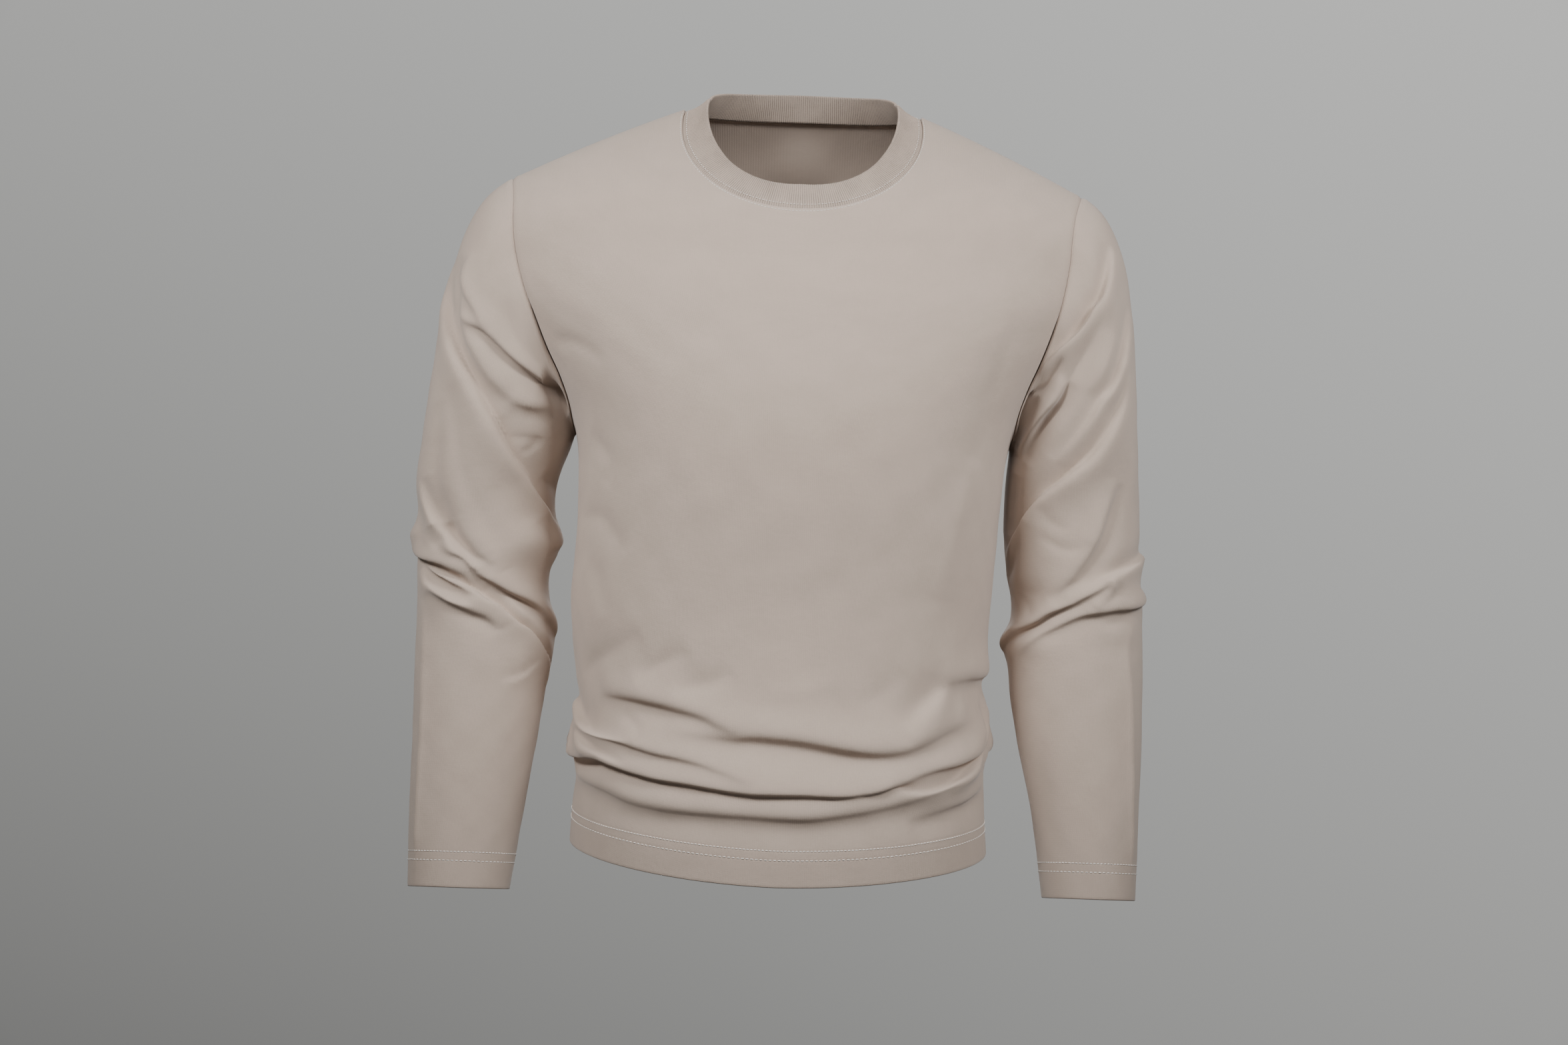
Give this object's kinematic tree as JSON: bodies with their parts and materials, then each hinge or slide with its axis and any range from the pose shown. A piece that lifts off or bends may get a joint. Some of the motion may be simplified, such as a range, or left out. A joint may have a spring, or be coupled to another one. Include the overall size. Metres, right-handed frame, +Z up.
{
  "type": "long-sleeve t-shirt",
  "caption": "Plain long-sleeve crew-neck t-shirt in cotton jersey with a rib-knit neckband, in the hollow form it has when worn, arms down.",
  "frame": {"origin": "midway between the neck ends of the two shoulder seams, where the shirt hangs on its wearer", "axes": "+Z up towards the head, -Y out of the front, +X towards the wearer's left"},
  "size_m": [0.5704, 0.249, 0.6404],
  "materials": {
    "front_jersey": "matt warm beige-grey cotton jersey",
    "back_jersey": "matt warm beige-grey cotton jersey",
    "sleeve_right_jersey": "matt warm beige-grey cotton jersey",
    "sleeve_left_jersey": "matt warm beige-grey cotton jersey",
    "collar_rib_knit": "matt rib knit in the same yarn"
  },
  "bodies": {
    "root": {"front": "front_jersey", "back": "back_jersey", "sleeve_right": "sleeve_right_jersey", "sleeve_left": "sleeve_left_jersey", "collar": "collar_rib_knit"}
  },
  "joints": []
}
